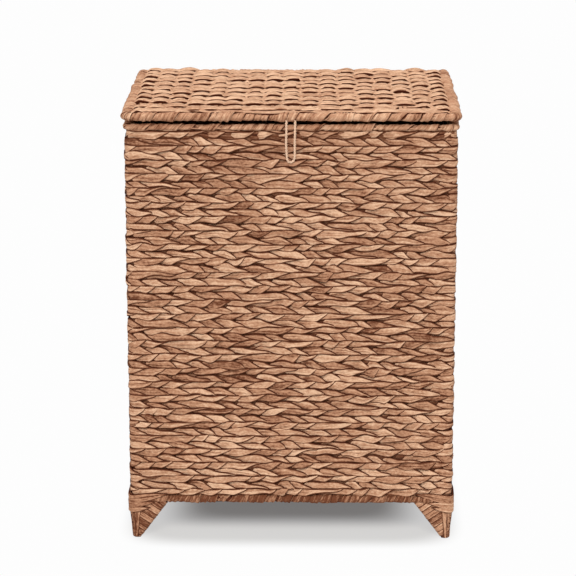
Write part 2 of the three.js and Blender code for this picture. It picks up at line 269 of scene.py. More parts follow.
def hyacinth(name, tone_shift, edge_shade):
    """Dried stalk: long fibres, a tone for each strand and blotches, with painted shade along its edges, in
    its creases and where it tucks under, and a pale band with a painted highlight just inside its edges.

    It is lighter by tone_shift, and edge_shade is the width of the painted shade at its edges. The noises'
    scales are waves to a metre along the stalk, across it and through it.
    """
    colours = bpy.context.scene.hamper_colours
    finish = Finish(name)
    grain = finish.attribute("grain", "Vector")
    tone = finish.attribute("tone", "Fac")
    proud = finish.attribute("proud", "Fac")
    fibres = finish.noise(grain, (30, 900, 900), 3.0, 0.6)
    folds = finish.noise(grain, (14, 330, 330), 2.0)
    blotches = finish.noise(grain, (60, 130, 130), 3.0, 0.6)
    specks = finish.noise(grain, (240, 420, 420), 3.0, 0.6)
    creases = finish.noise(grain, (11, 460, 460), 1.0).step(0.6, 0.68)
    inset = finish.attribute("inset", "Fac")
    # Partly the stalk's paler edge and partly a painted highlight: a light band just inside the painted
    # edge shade
    pale_edge_and_glint = inset.step(0.8 * edge_shade, 1.3 * edge_shade) * (1 - inset.step(1.5 * edge_shade, 2.6 * edge_shade))
    # The creases are darkened in colour as well as sunk by the bump: painted shade in them
    texture = 0.9 * fibres + 0.8 * folds + 0.7 * blotches + 0.9 * specks - 0.2 * creases + 0.14 * pale_edge_and_glint
    levels = tone_shift + SHADED_EDGE_LEVEL, tone_shift + LIT_MIDDLE_LEVEL
    # lightness: tone and texture, with the edges darker as painted shade
    lightness = 0.95 * tone + texture + inset.step(0.5 * edge_shade, 2.4 * edge_shade, *levels)
    dark_half = finish.mix(lightness.step(0.0, 0.5), colours.brown, colours.tan)
    stalk = finish.mix(lightness.step(0.42, 1.0), dark_half, colours.pale)
    beyond_edge_shade = (inset + 0.0004 * folds).step(0.6 * edge_shade, 1.3 * edge_shade, 0.2, 1.0)
    # lit_share paints shade: it is low where the strand passes under, on its flanks and along its edges
    lit_share = (proud + 0.16 * folds).step(0.26, 0.7) * beyond_edge_shade
    shaded = finish.mix(lit_share.step(0.0, 0.5), colours.tuck_shade, colours.brown)
    finish.set(
        base_color=finish.mix(lit_share.step(0.35, 1.0), shaded, stalk),
        roughness=0.52 + 0.25 * fibres,
        normal=finish.bump(0.4 * fibres + folds - 0.3 * creases, 0.0014),
    )
    finish.shader.inputs["Specular IOR Level"].default_value = 0.04
    return finish.material


def darker(colour, share):
    return tuple(share * part for part in colour)


def twine(name):
    """Pale two-ply cord with fine hairs along its plies, and painted shade on the plies' flanks."""
    colours = bpy.context.scene.hamper_colours
    finish = Finish(name)
    grain = finish.attribute("grain", "Vector")
    hairs = finish.noise(grain, (260, 2600, 2600), 2.0)
    proud = finish.attribute("proud", "Fac")
    pale = finish.mix(hairs.step(0.3, 0.75), darker(colours.cord, 0.8), colours.cord)
    return finish.set(
        # Painted shade: darker where proud is low, on the flanks of each ply
        base_color=finish.mix(proud.step(0.0, 0.5), darker(colours.cord, 0.6), pale),
        roughness=0.75 + 0.1 * hairs,
        normal=finish.bump(hairs, 0.0002),
    )


WORN_PAINT = (0.075, 0.05, 0.038)
RUST = tint(122, 68, 38)


def painted_iron(name):
    """Dark satin paint on drawn rod, with a little rust where it has worn."""
    colours = bpy.context.scene.hamper_colours
    finish = Finish(name)
    grains = finish.noise(finish.place(), (900, 900, 900), 3.0)
    patches = finish.noise(finish.place(), (60, 60, 60), 3.0)
    rust = patches.step(0.56, 0.7) * grains.step(0.35, 0.65)
    paint = finish.mix(grains, colours.iron, WORN_PAINT)
    return finish.set(
        base_color=finish.mix(rust, paint, RUST),
        roughness=0.42 + 0.35 * rust,
        metallic=0.0,
        normal=finish.bump(0.5 * grains + patches, 0.0003),
    )


def drawn_wire(name):
    """Galvanised wire with fine dull patches."""
    colours = bpy.context.scene.hamper_colours
    finish = Finish(name)
    patches = finish.noise(finish.place(), (350, 350, 350), 3.0)
    return finish.set(
        base_color=finish.mix(patches.step(0.3, 0.7), darker(colours.wire, 0.6), colours.wire),
        roughness=0.25 + 0.3 * patches,
        metallic=1.0,
        normal=finish.bump(patches, 0.0001),
    )


# Paths and strands


class Loop:
    """A rectangle with round corners, walked anticlockwise from the back end of its left side."""

    def __init__(self, half_x, half_y, radius):
        self.radius = radius
        self.flat_x = half_x - radius
        self.flat_y = half_y - radius
        quarter = radius * math.pi / 2
        runs = [2 * self.flat_y, quarter, 2 * self.flat_x, quarter]
        self.starts = running(runs * 2)
        self.length = self.starts[-1]

    def at(self, distance):
        """Places, forward directions and outward directions at distances along the loop, each as (n, 3)."""
        distance = np.mod(np.asarray(distance, float), self.length)
        run = np.clip(np.searchsorted(self.starts, distance, side="right") - 1, 0, 7)
        gone = distance - self.starts[run]
        side = run // 2
        curved = run % 2 == 1
        angle = math.pi + side * math.pi / 2 + np.where(curved, gone / self.radius, 0)
        centre = side + curved
        centre_x = self.flat_x * np.array([-1, -1, 1, 1, -1])[centre]
        centre_y = self.flat_y * np.array([1, -1, -1, 1, 1])[centre]
        flat = np.zeros_like(angle)
        out = np.stack([np.cos(angle), np.sin(angle), flat], axis=1)
        along = np.stack([-out[:, 1], out[:, 0], flat], axis=1)
        gone_flat = np.where(curved, 0, gone)[:, None]
        place = np.stack([centre_x, centre_y, flat], axis=1) + self.radius * out + gone_flat * along
        return place, along, out

    def stations(self, step, corner_step, start=0.0, end=None):
        """Distances from start to end, closer together round the corners."""
        end = self.length if end is None else end
        fine = np.arange(start, end, corner_step / 4)
        run = np.searchsorted(self.starts, np.mod(fine, self.length), side="right") - 1
        pace = np.where(run % 2 == 1, 1 / corner_step, 1 / step)
        count = running(pace[:-1] * corner_step / 4)
        wanted = np.linspace(0, count[-1], int(round(count[-1])) + 1)
        return np.interp(wanted, count, fine)

    def near_corner(self, distance, reach):
        """1 at the middle of each corner, falling to 0 along the flats."""
        half = self.length / 2
        gaps = [np.abs(np.mod(distance - self.corner(i) + half, self.length) - half) for i in range(4)]
        return np.exp(-((np.min(gaps, axis=0) / reach) ** 2))

    def corner(self, index):
        """The distance of a corner's middle: 0 front left, 1 front right, 2 back right, 3 back left."""
        return (self.starts[2 * index + 1] + self.starts[2 * index + 2]) / 2


def drift(rng, share, waves, size):
    """A wandering value of this size and number of waves, which joins up with itself at shares 0 and 1."""
    turns = rng.uniform(0, TURN, waves)
    counts = np.arange(1, waves + 1)
    return size / math.sqrt(waves) * np.sin(TURN * np.outer(share, counts) + turns).sum(axis=1)


def by_step(values, place):
    """Values that each hold round their own whole number, with quick even changes half way between."""
    index = np.floor(place).astype(int)
    share = smooth(0.25, 0.75, place - index)
    return between(values[index % len(values)], values[(index + 1) % len(values)], share)


def unit(vectors):
    return vectors / np.maximum(np.linalg.norm(vectors, axis=-1, keepdims=True), 1e-12)


def travel(path):
    """How far along a path each of its points is."""
    return running(np.linalg.norm(np.diff(path, axis=0), axis=1))


def heading(path):
    """The directions of travel at a path's points."""
    return unit(np.gradient(path, axis=0))


def catmull(points, per_span):
    """A smooth line through points, with this many steps between two of them."""
    points = np.array(points)
    padded = np.concatenate([[2 * points[0] - points[1]], points, [2 * points[-1] - points[-2]]])
    line = []
    for before, start, end, after in zip(padded, padded[1:], padded[2:], padded[3:]):
        pull = end - before
        bend = 2 * before - 5 * start + 4 * end - after
        turn = 3 * start - before - 3 * end + after
        for share in np.arange(per_span) / per_span:
            line.append(start + (pull * share + bend * share**2 + turn * share**3) / 2)
    return np.array([*line, points[-1]])


Run = namedtuple("Run", "places grain tone proud inset gone closed")
# Empty share of a map row on each side of its strand, and half the size of an end's dot in its row
MAP_MARGIN = 0.06
CAP_DOT = 0.3


class Strands:
    """The strands of one piece, each swept along its own path, joined into one mesh."""

    def __init__(self, seed):
        self.rng = np.random.default_rng([SEED, seed])
        self.runs = []

    def add(
        self,
        path,
        side,
        out,
        half_width,
        half_depth,
        tone,
        lift=1.0,
        sides=16,
        closed=False,
        wrinkle=0.1,
        boxy=0.55,
        laid=None,
    ):
        """A strand with its width along side and its thickness along out. lift is 1 where it lies on top,
        and less paints shade on it, as where it passes under.

        Its section has this many sides, wrinkled by a share of its thickness, and is squarer where boxy is
        less. Where laid is given, it turns each point's width and thickness into its place.
        """
        count = len(path)
        full = np.ones(count)
        side, out = np.broadcast_to(side, path.shape), np.broadcast_to(out, path.shape)
        angles = TURN * np.arange(sides) / sides
        across = np.sign(np.cos(angles)) * np.abs(np.cos(angles)) ** 0.75
        over = np.sign(np.sin(angles)) * np.abs(np.sin(angles)) ** boxy
        ridge = np.where(np.abs(np.sin(angles)) > 0.5, (-1.0) ** np.arange(sides), 0)
        gone = travel(path)
        share = np.arange(count) / count
        waves = min(max(2, int(gone[-1] / 0.03)), 40)
        lumps = np.stack([drift(self.rng, share, waves, wrinkle) for _ in range(sides)], axis=1)
        lumps = lumps + wrinkle * np.outer(1 + drift(self.rng, share, waves, 1.0), ridge)
        half_width = (half_width * full)[:, None]
        wide = half_width * across * (1 + 0.4 * lumps)
        deep = (half_depth * full)[:, None] * over * (1 + lumps)
        if laid:
            places = laid(wide, deep)
        else:
            places = path[:, None] + side[:, None] * wide[..., None] + out[:, None] * deep[..., None]
        offset = self.rng.uniform(0, 50)
        grain = np.stack([np.broadcast_to(gone[:, None] + offset, wide.shape), wide, deep], axis=2)
        # proud is painted shade: it is less where lift is low and on the flanks of the section, which
        # darkens the stalk there
        proud = (lift * full)[:, None] * (0.1 + 0.9 * np.abs(over))
        tones = np.broadcast_to((tone * full)[:, None], wide.shape)
        inset = half_width * (1 - np.abs(across))
        self.runs.append(Run(places, grain, tones, proud, inset, gone, closed))

    def map_rows(self):
        """How many rows of the map each strand takes, for a map about as high as it is wide."""
        total = sum(run.gone[-1] for run in self.runs)
        edges = [np.linalg.norm(np.diff(run.places, axis=1), axis=2) for run in self.runs]
        girth = np.mean([edge.sum(axis=1).mean() for edge in edges])
        row_length = math.sqrt(total * girth) * 1.05
        return [max(1, math.ceil(run.gone[-1] / row_length)) for run in self.runs]

    def faces(self):
        """The faces' corners, their counts and their places on a map where each strand has its own rows."""
        rows = self.map_rows()
        row_count = sum(rows)
        corners, counts, uvs, first, first_row = [], [], [], 0, 0
        for run, own_rows in zip(self.runs, rows):
            count, sides = run.places.shape[:2]
            spans = count if run.closed else count - 1
            i, j = np.meshgrid(np.arange(spans), np.arange(sides), indexing="ij")
            i, j = i.ravel(), j.ravel()
            next_i, next_j = (i + 1) % count, (j + 1) % sides
            ring, next_ring = i * sides, next_i * sides
            quads = np.stack([ring + j, next_ring + j, next_ring + next_j, ring + next_j], axis=1)
            corners.append(quads + first)
            counts.append(np.full(len(quads), 4))
            per_row = math.ceil(spans / own_rows)
            row = i // per_row
            start = (i - row * per_row) / per_row
            side_height = (1 - 2 * MAP_MARGIN) / sides
            low = (first_row + row + MAP_MARGIN + side_height * j) / row_count
            high = low + side_height / row_count
            far = start + 1 / per_row
            uvs.append(np.stack([start, low, far, low, far, high, start, high], axis=1))
            if not run.closed:
                for end_ring in (0, count - 1):
                    cap = first + end_ring * sides + np.arange(sides)
                    corners.append(cap if end_ring else cap[::-1])
                    counts.append(np.array([sides]))
                    turn = TURN * np.arange(sides) / sides
                    centre, dot = (first_row + 0.5) / row_count, CAP_DOT / row_count
                    uvs.append(np.stack([0.5 + dot * np.cos(turn), centre + dot * np.sin(turn)], axis=1))
            first += count * sides
            first_row += own_rows
        return (np.concatenate([part.ravel() for part in parts]) for parts in (corners, counts, uvs))

    def build(self, name, material):
        """Makes the mesh object of all the strands."""
        mesh = bpy.data.meshes.new(name)
        points = np.concatenate([run.places.reshape(-1, 3) for run in self.runs])
        corners, counts, uvs = self.faces()
        mesh.vertices.add(len(points))
        mesh.vertices.foreach_set("co", points.ravel())
        mesh.loops.add(len(corners))
        mesh.loops.foreach_set("vertex_index", corners)
        mesh.polygons.add(len(counts))
        mesh.polygons.foreach_set("loop_start", running(counts[:-1]))
        mesh.polygons.foreach_set("loop_total", counts)
        mesh.update(calc_edges=True)
        mesh.polygons.foreach_set("use_smooth", np.ones(len(counts), bool))
        mesh.uv_layers.new(name=BAKE_MAP).uv.foreach_set("vector", uvs)
        for label in ("grain", "tone", "proud", "inset"):
            kind, key = ("FLOAT_VECTOR", "vector") if label == "grain" else ("FLOAT", "value")
            values = np.concatenate([getattr(run, label).reshape(-1) for run in self.runs])
            mesh.attributes.new(label, kind, "POINT").data.foreach_set(key, values.astype(np.float32))
        mesh.materials.append(material)
        piece = bpy.data.objects.new(name, mesh)
        bpy.context.scene.collection.objects.link(piece)
        return piece


def settle(piece, body, slot, *nodes):
    """Hangs a finished piece on its body and hides the solids that it stands for; slot is not used."""
    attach(piece, body)
    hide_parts(*nodes)


def finish_of(name, make, *options):
    """The material of that name, made the first time that it is asked for."""
    return bpy.data.materials.get(name) or make(name, *options)


# How much lighter each kind of stalk work is, and the width of the painted shade at its edges
STALK_WORK = {
    "braided": (0.0, 0.0018),
    "wound": (0.0, 0.0007),
    "foot": (0.0, 0.0013),
    "woven": (0.13, 0.001),
}


def stalks(work):
    return finish_of(f"{work} stalks", hyacinth, *STALK_WORK[work])


# Wall

# Flattening, depth behind the wall's face and drop of the upper edge of the course behind the top rim
HIDDEN_COURSE = (0.8, 0.0022, 0.0055)
# Tone of the packing and cores: real filler strands, painted dark, with a low lift, to stand in for the
# shade in the gaps where they show
SHADED_FILL_TONE = 0.1
# Packing lies this far behind the braids' middle, and its half width and half depth
PACKING_DEPTH = 0.0022
PACKING_HALF = (0.0062, 0.0006)
# Spacing of a braid's sections along the flats and round the corners
BRAID_STEPS = (0.003, 0.0016)
# How far from a corner the strands lie calmer
CORNER_REACH = 0.016
# How far a leaf's strand comes out on top and goes under
LEAF_DIVE = 0.0018
LEAF_TONES = (0.43, 0.58)


def wander(line, share):
    """How far one of the wall's lines, an edge between courses or a seam, strays up and down."""
    return drift(np.random.default_rng([SEED, 900 + line]), share, 52, 0.0012)


def braid_course(strands, loop, course, pitch, periods, flatten=1.0, sink=0.0, drop=0.0):
    """Three flat strands plaited round the wall, with packing behind the seam and the lower edge.

    Each leaf starts under the one on its left, fills its row from the seam to the course's edge, comes out
    on top and slants to a point at the seam, where its strand passes under to the other row.
    """
    sizes = bpy.context.scene.hamper_sizes
    rng = strands.rng
    distance = loop.stations(*BRAID_STEPS)[:-1]
    share = distance / loop.length
    place, _, out = loop.at(distance)
    sway = drift(rng, share, 19, 0.24)
    lower, seam, upper = (
        WALL_BOTTOM + (course + line / 2) * pitch + wander(2 * course + line, share) for line in range(3)
    )
    upper = upper - drop
    bend = loop.near_corner(distance, CORNER_REACH)
    calm = flatten * (1 - 0.6 * bend)
    start = rng.uniform(0, 2)
    course_tone = rng.uniform(*LEAF_TONES)

    def level(rows):
        """Heights from rows above the seam, which are negative below it."""
        return seam + np.where(rows > 0, upper - seam, seam - lower) * rows

    for strand in range(3):
        gone = 2 * periods * share + sway + start + 2 * strand / 3 + drift(rng, share, 40, 0.05)
        leaf = np.floor(gone).astype(int)
        part = gone - leaf

        def each(spread, middle=0.0, odd=0.0):
            """A value for each leaf round the middle, with odd added to every seventh or so."""
            values = rng.normal(0, 1, 2 * periods).clip(-2, 2) * spread + middle
            values += odd * (rng.random(2 * periods) < 0.14)
            now, soon = values[leaf % len(values)], values[(leaf + 1) % len(values)]
            return between(now, soon, smooth(0.93, 1.0, part))

        shoulder = each(0.07, 0.55)
        slant = np.clip((1.02 - part) / (1.02 - shoulder), 0, 1) ** each(0.13, 0.82)
        reach = each(0.08, 0.96) + 0.03 * bend
        swell = each(0.04, 0.05) * np.sin(math.pi * part)
        edge = 0.08 + (reach + swell) * np.minimum(smooth(-0.09, 0.07, part), slant)
        low = -0.06 + each(0.04) - reach * smooth(-0.09, 0.07, part - 1)
        sign = np.where(leaf % 2 == 0, 1, -1)
        outer, inner = level(sign * edge), level(sign * low)
        lateral = (outer + inner) / 2
        half_width = np.abs(outer - inner) / 2
        wave = np.sin(TURN * (part + 0.07))
        depth = -LEAF_DIVE * calm * wave * (1 + each(0.2)) + each(0.0004) - sink
        dive = sign * (smooth(0.8, 1.0, part) - 1 + smooth(0, 0.2, part))
        roll = (each(0.06) + 0.2 * calm * dive)[:, None]
        strands.add(
            place + out * depth[:, None] + UPRIGHT * lateral[:, None],
            UPRIGHT * np.cos(roll) + out * np.sin(roll),
            out * np.cos(roll) - UPRIGHT * np.sin(roll),
            half_width,
            sizes.strand_depth / 2 * flatten * (1 + each(0.12)) * (0.55 + 0.45 * edge),
            # Besides each leaf's own tone, painted light and shade: lighter towards its tip, where it lies
            # on top, and darker at its tail, and the lower lift paints shade where the strand dives under
            course_tone + each(0.11, odd=-0.2) - 0.05 * np.sin(TURN * part),
            lift=0.86 - 0.16 * wave,
            closed=True,
        )
    for line in (lower, seam):
        packing = place + UPRIGHT * line[:, None] - out * PACKING_DEPTH
        # The packing is painted dark, with a low lift, as the shade in the gaps between leaves and courses
        strands.add(packing, UPRIGHT, out, *PACKING_HALF, SHADED_FILL_TONE, lift=0.5, sides=8, closed=True)


class HAMPER_OT_braided_wall(bpy.types.Operator):
    """Braids the wall's courses round the frame"""

    bl_idname = "hamper.braided_wall"
    bl_label = "Braided wall"

    def execute(self, context):
        sizes = context.scene.hamper_sizes
        inset = sizes.wall_depth / 2
        loop = Loop(WALL.half.x - inset, WALL.half.y - inset, sizes.wall_corner - inset)
        pitch = (WALL_TOP - WALL_BOTTOM) / sizes.braid_rows
        for course in range(math.ceil(sizes.braid_rows)):
            strands = Strands(100 + course)
            usual = round(loop.length / sizes.braid_repeat)
            periods = usual + int(strands.rng.integers(-1, 2))
            behind_rim = HIDDEN_COURSE if course + 1 > sizes.braid_rows else ()
            braid_course(strands, loop, course, pitch, periods, *behind_rim)
            piece = strands.build(f"braid_course_{course + 1:02d}", stalks("braided"))
            settle(piece, "basket", "braided_hyacinth", "braided_wall")
        return {"FINISHED"}


# Wound rims


Winding = namedtuple(
    "Winding", "pitches tone side_pace side_crown swell lift squash", defaults=(1.0, 0.0, 0.0, 0.0, 1.0)
)
LID_RIM_WINDING = Winding((0.009, 0.02), 0.5, 1.1, 0.0013, -0.0025, 0.0007, 0.64)
TOP_RIM_WINDING = Winding((0.012, 0.021), 0.48, 1.0, 0.0004, 0.002, 0.0006, 0.54)
BOTTOM_RIM_WINDING = Winding((0.009, 0.017), 0.06)
# The back of a rim is this much lower, for the lid to swing
BACK_DROP = 0.0005
WOUND_THICKNESS = 0.0013
# How much further some turns stand out
TURN_BULGE = 0.0003
# How far one edge of a turn rises over the turn beside it
OVERLAP = 0.0006
POINTS_PER_TURN = 20


def wind(strands, loop, winding, box, start, end):
    """One strand wound round a rim from start to end, leaning right as it climbs the outer side.

    The rim's middle is lift above its solid's, and its height is a share, squash, of the solid's. Its turns
    are a random one of the pitches apart, side_pace times that on the left and right sides, and close
    together round the corners. One edge of each turn lies higher, over the turn beside it, and turns on the
    sides are side_crown higher along their middles. Except at the back, the section grows by swell towards
    its inner side, upwards where swell is more than 0 and downwards where it is less.
    """
    radius, rise, height = box.half.z, winding.squash * box.half.z, box.middle.z + winding.lift
    rng = strands.rng
    leads = []
    while sum(leads) < end - start:
        here = np.array([start + sum(leads)])
        pace = winding.side_pace if abs(loop.at(here)[1][0, 1]) > 0.7 else 1.0
        pace *= 1 - 0.45 * loop.near_corner(here + 0.008, 0.02)[0]
        leads.append(rng.uniform(*winding.pitches) * pace * (1.4 if rng.random() < 0.15 else 1.0))
    leads = np.array(leads) * (end - start) / sum(leads)
    edges = running(leads)
    turns = np.arange(len(leads) * POINTS_PER_TURN + 1) / POINTS_PER_TURN
    distance = start + np.interp(turns, np.arange(len(edges)), edges)
    lead = np.interp(turns - 0.5, np.arange(len(leads)), leads)
    _, along, out = loop.at(distance)
    angle = (TURN * turns)[:, None]
    bulge = by_step(rng.normal(0, 1, len(leads) + 1), turns)[:, None]
    deep = radius - WOUND_THICKNESS + TURN_BULGE * bulge
    tall = rise - WOUND_THICKNESS * 0.85 + TURN_BULGE * bulge - BACK_DROP * smooth(0.3, 0.7, out[:, 1:2])
    rising = OVERLAP * (1 + 0.4 * by_step(rng.uniform(-1, 1, len(leads) + 1), turns))[:, None]
    tones = winding.tone + 0.08 * by_step(rng.normal(0, 1, len(leads) + 1), turns)
    half_width = lead * 0.57 * (1 + 0.05 * bulge[:, 0])
    flat = 1 - loop.near_corner(distance, CORNER_REACH)
    crown = (winding.side_crown * along[:, 1] ** 2 * flat)[:, None]
    swell = winding.swell * smooth(-0.5, 0.3, -out[:, 1:2])

    def laid(wide, off):
        """Places on the rim, wide metres along it from the strand's middle and off metres outwards."""
        around = loop.at((distance[:, None] + wide).ravel())
        place, _, out = (part.reshape(*wide.shape, 3) for part in around)
        across = wide / half_width[:, None]
        off = off + rising * across + crown * (1 - across**2)
        outward = (deep + off) * np.cos(angle) - radius
        upward = (tall + off) * np.sin(angle) + height
        bulged = np.abs(np.sin(angle)) ** 0.5 * (np.sin(angle) * swell > 0)
        upward = upward + swell * bulged * (0.5 - 0.5 * np.cos(angle)) ** 2
        return place + out * outward[..., None] + UPRIGHT * upward[..., None]

    path = laid(np.zeros((len(distance), 1)), 0.0)[:, 0]
    thickness = WOUND_THICKNESS * (1 + 0.12 * bulge[:, 0])
    strands.add(path, along, out, half_width, thickness, tones, lift=1.25, wrinkle=0.22, laid=laid)


def core_run(strands, loop, winding, box, start, end):
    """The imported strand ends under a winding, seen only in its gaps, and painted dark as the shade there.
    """
    radius, rise, height = box.half.z, winding.squash * box.half.z, box.middle.z + winding.lift
    closed = end - start >= loop.length - 1e-9
    distance = loop.stations(0.01, 0.002, start, end)
    distance = distance[:-1] if closed else distance
    place, _, out = loop.at(distance)
    path = place - out * radius + UPRIGHT * height
    options = {"lift": 0.3, "sides": 10, "closed": closed}
    # The core is painted dark, with a low lift, as the shade in the winding's gaps
    strands.add(path, UPRIGHT, out, rise * 0.72, radius * 0.72, SHADED_FILL_TONE, **options)


# From the middle of a hinge link to the end of the winding beside it, and from there to its core's end
LINK_GAP = 0.0026


def link_places(loop):
    """Distances, along a rim's loop, of the two hinge links: the right one, then the left one."""
    back_start = loop.starts[6]
    right = back_start + loop.flat_x - LINK_X
    left = back_start + loop.flat_x + LINK_X
    return right, left


class HAMPER_OT_rims(bpy.types.Operator):
    """Winds strand round the lid's rim, the top rim and the bottom rim"""

    bl_idname = "hamper.rims"
    bl_label = "Wound rims"

    def execute(self, context):
        sizes = context.scene.hamper_sizes
        rims = (
            ("lid_rim", "lid", sizes.lid_corner, LID_RIM_WINDING, LINK_GAP),
            ("top_rim", "basket", sizes.wall_corner, TOP_RIM_WINDING, LINK_GAP),
            ("bottom_rim", "basket", sizes.wall_corner, BOTTOM_RIM_WINDING, 0),
        )
        for rim, (name, body, corner, winding, gap) in enumerate(rims):
            box = box_of(f"{name}_wrap")
            loop = Loop(box.half.x, box.half.y, corner)
            right, left = link_places(loop)
            split = ("", left, right + loop.length), ("_back", right, left)
            for part, (suffix, start, end) in enumerate(split if gap else [("", 0, loop.length)]):
                strands = Strands(410 + 10 * rim + part)
                wind(strands, loop, winding, box, start + gap, end - gap)
                core_run(strands, loop, winding, box, start + 2 * gap, end - 2 * gap)
                piece = strands.build(f"{name}_winding{suffix}", stalks("wound"))
                settle(piece, body, "wrapped_hyacinth", f"{name}_wrap{suffix}")
        return {"FINISHED"}


# Woven lid and base


Weave = namedtuple("Weave", "crest trough thickness swap tuck loose_rows tone narrowing")
LID_WEAVE = Weave(0.0029, 0.001, 0.0029, 0.5, 0.005, 3.0, 0.5, 0.4)
BASE_WEAVE = Weave(0.0017, 0.0017, 0.0018, 1.0, 0.0, 0, 0.35, 0.0)
# Spacing of the points along the wefts and along the warps
WEFT_STEP, WARP_STEP = 0.0022, 0.005
# Half width and half depth of the warps, and half depth of the packing between the rows
WARP_HALF = (0.0035, 0.0007)
ROW_PACKING_DEPTH = 0.0005
# How far the lid's weave reaches under its rims, and sinks below the middle of its solid
LID_REACH = Vector((0.006, 0.005, 0))
LID_SINK = Vector((0, 0, 0.0013))


def weave(strands, box, weft_pitch, warp_pitch, kind):
    """Fat wefts from side to side that arch over some warps by crest and dip under the others by trough.

    A share, swap, of the warps are passed the other way round from the warp beside them: all in a plain
    weave. The ends drop by tuck, to pass under a rim, and lose a share, narrowing, of their width. The
    first loose_rows lie flatter and wander.
    """
    rng = strands.rng
    middle, half = box
    rows = round(2 * half.y / weft_pitch)
    columns = round(2 * half.x / warp_pitch)
    pitch_y, pitch_x = 2 * half.y / rows, 2 * half.x / columns
    x = np.linspace(-half.x, half.x, int(2 * half.x / WEFT_STEP))
    share = (x + half.x) / (2 * half.x)
    ends = 1 - smooth(0, 0.01, half.x - np.abs(x))
    narrow = 1 - kind.narrowing * (1 - smooth(0.01, 0.019, half.x - np.abs(x)))
    swaps = np.cumsum(rng.random(columns + 4) < kind.swap)
    for row in range(rows):
        loose = max(0.0, 1 - row / kind.loose_rows) if kind.loose_rows else 0.0
        pressed = 0.5 * smooth(rows - 3, rows - 1, row) if kind.loose_rows else 0.0
        column = share * columns - 0.5 + drift(rng, share, 9, 0.07 + 0.5 * loose)
        bulge, width, shift, hue = (
            by_step(rng.normal(0, 1, columns + 3).clip(-2, 2), column + 1) for _ in range(4)
        )
        nearest = np.rint(column).astype(int)
        over = 1 - 2 * ((row + swaps[nearest + 1]) % 2)
        wave = (over * np.cos(math.pi * (column - nearest)) + 0.2) / 1.2
        arch = np.sign(wave) * np.abs(wave) ** 0.7
        falling = (over * np.sin(math.pi * (column - nearest))).clip(0, 1)
        swell = np.abs(wave) ** 0.4 * (1 - 0.5 * falling**2)
        y = -half.y + (row + 0.5) * pitch_y + (0.002 + 0.0012 * loose) * shift
        y = y + drift(rng, share, 6, 0.002 * loose)
        rise = (1 - 0.7 * loose) * (1 - pressed) * np.where(arch > 0, kind.crest, kind.trough)
        z = middle.z + rise * arch * (1 + 0.13 * bulge) - kind.tuck * ends
        path = np.stack([x, y, z], axis=1)
        way = heading(path)
        side = unit(FORWARD - way * (way @ FORWARD)[:, None])
        fullness = 0.44 + 0.15 * loose + np.where(arch > 0, 0.23, 0.0) * swell
        strands.add(
            path,
            side,
            np.cross(way, side),
            narrow * pitch_y * fullness * (1 + 0.07 * width),
            kind.thickness * (0.7 + np.where(arch > 0, 0.4, -0.1) * swell) * (1 + 0.08 * bulge),
            # Painted highlight and shade: the crests lighter and the dips darker in tone, and the lift
            # lower in the dips
            kind.tone + 0.05 * hue + 0.07 * arch,
            lift=0.86 + 0.3 * arch,
            wrinkle=0.12,
            boxy=0.75,
        )
    for row in range(1, rows):
        y = np.full(len(x), -half.y + row * pitch_y)
        path = np.stack([x, y, middle.z - 0.6 * kind.trough - kind.tuck * ends], axis=1)[::4]
        sizes = 0.25 * pitch_y, ROW_PACKING_DEPTH
        # The packing between rows is painted dark, with a low lift, as the shade in the slits
        strands.add(path, FORWARD, UPRIGHT, *sizes, SHADED_FILL_TONE, lift=0.5, sides=8)
    y = np.linspace(-half.y, half.y, int(2 * half.y / WARP_STEP))
    ends = 1 - smooth(0.01, 0.03, half.y - np.abs(y))
    height = middle.z + (kind.crest - kind.trough) / 2 - (kind.tuck + 0.001) * ends
    for warp in range(columns):
        x_here = np.full(len(y), -half.x + (warp + 0.5) * pitch_x)
        path = np.stack([x_here, y, height], axis=1)
        # lift 0.7 paints a little shade on the warps, which lie under the wefts
        strands.add(path, RIGHT, UPRIGHT, *WARP_HALF, kind.tone - 0.2, lift=0.7, sides=8)


class HAMPER_OT_weaves(bpy.types.Operator):
    """Weaves the lid's panel and the base that the laundry rests on"""

    bl_idname = "hamper.weaves"
    bl_label = "Woven lid and base"

    def execute(self, context):
        sizes = context.scene.hamper_sizes
        strands = Strands(50)
        box = Box(LID_PANEL.middle - LID_SINK, LID_PANEL.half + LID_REACH)
        weave(strands, box, sizes.weft_pitch, sizes.warp_pitch, LID_WEAVE)
        settle(strands.build("lid_weave", stalks("woven")), "lid", "lid_weave", "woven_lid_panel")
        strands = Strands(60)
        weave(strands, box_of("woven_base"), sizes.base_pitch, 2 * sizes.base_pitch, BASE_WEAVE)
        settle(strands.build("base_weave", stalks("braided")), "basket", "braided_hyacinth", "woven_base")
        return {"FINISHED"}


# Feet

FOOT_REACH = 0.053
FOOT_TIP_REACH = 0.0163
FOOT_TIP_INSET = 0.0053
FOOT_TOP_INSET = 0.001
FOOT_TIP_HEIGHT = 0.003
FOOT_BANDS = 8
# Painted light and shade: how much lighter the right feet are, and darker the left ones
FOOT_SIDE_SHADE = 0.1
BAND_TONE, STRIP_TONE, FOOT_LEAF_TONE, TIP_TONE = 0.26, 0.24, 0.36, 0.22
# Radius of the bands' fold at the foot's sloping edge
FOLD_RADIUS = 0.0045
# From a corner's middle to the upright strips on its foot, and their half width and half depth
STRIP_OFFSETS = (-0.0105, 0.0, 0.0105)
STRIP_HALF = (0.006, 0.0014)
# Height, reach to each side of the corner, and half width of the leaves laid round a corner above its foot
FOOT_LEAVES = ((0.0430, 0.028, 0.0042), (0.0495, 0.035, 0.0050), (0.0580, 0.052, 0.0070))
FOOT_LEAF_HALF_DEPTH = 0.0017
